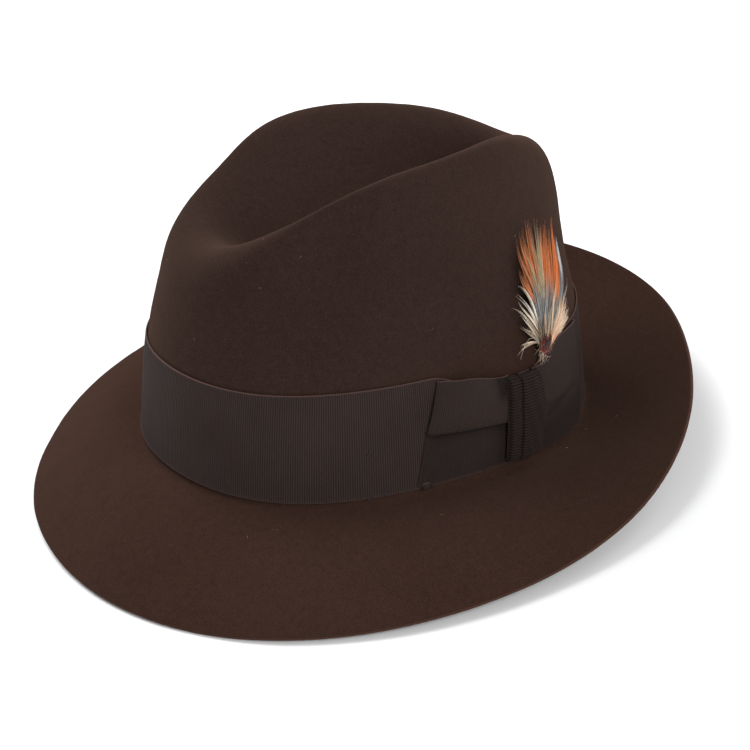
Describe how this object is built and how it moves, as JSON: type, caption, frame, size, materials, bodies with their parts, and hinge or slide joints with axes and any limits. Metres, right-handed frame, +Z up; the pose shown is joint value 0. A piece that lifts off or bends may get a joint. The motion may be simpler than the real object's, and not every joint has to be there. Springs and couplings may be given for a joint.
{
  "type": "snap-brim fedora hat",
  "caption": "Dark brown fur-felt fedora with teardrop-dented pinched crown, snap brim, ribbed ribbon band, side bow and a feather tucked behind the bow.",
  "frame": {"origin": "on the floor under the middle of the hat as it stands on its brim", "axes": "+Z up, -Y to the front of the hat, +X to the wearer's left (the bow side)"},
  "size_m": [0.2934, 0.3114, 0.1513],
  "materials": {
    "felt": "brushed fur felt",
    "ribbon": "ribbed grosgrain",
    "thread": "matte",
    "quill": "satin",
    "feather_grey": "soft",
    "feather_orange": "soft",
    "feather_cream": "downy",
    "feather_white": "satin",
    "feather_dark": "soft",
    "satin": "satin",
    "leather": "smooth",
    "reed": "satin",
    "tag": "woven"
  },
  "bodies": {
    "hat": {"felt_body": "felt", "hatband": "ribbon", "band_tack_a": "thread", "band_tack_b": "thread", "band_tack_c": "thread", "bow_backing": "ribbon", "bow_tail": "ribbon", "bow_wing_lower": "ribbon", "bow_wing_upper": "ribbon", "bow_wing_rear": "ribbon", "bow_knot": "ribbon", "lining_side": "satin", "lining_piping": "satin", "lining_tip": "satin", "sweatband": "leather", "sweatband_reed": "reed", "reed_tape": "ribbon", "sweatband_thread": "thread", "sweatband_bow": "ribbon", "size_tag": "tag"},
    "brim": {"brim_front": "felt"},
    "feather": {"feather_quill": "quill", "feather_badger": "feather_grey", "feather_hackle": "feather_orange", "feather_fluff": "feather_cream", "feather_sliver": "feather_white", "feather_tuft": "feather_dark"}
  },
  "joints": [
    {"name": "brim_snap", "type": "hinge", "parent": "hat", "child": "brim", "pos_m": [0, -0.10733, 0.02787], "axis": [-1, 0, 0], "range_deg": [0, 50]},
    {"name": "feather_slide", "type": "slide", "parent": "hat", "child": "feather", "axis": [-0.1905, 0.0366, 0.981], "range_m": [0, 0.01]}
  ]
}
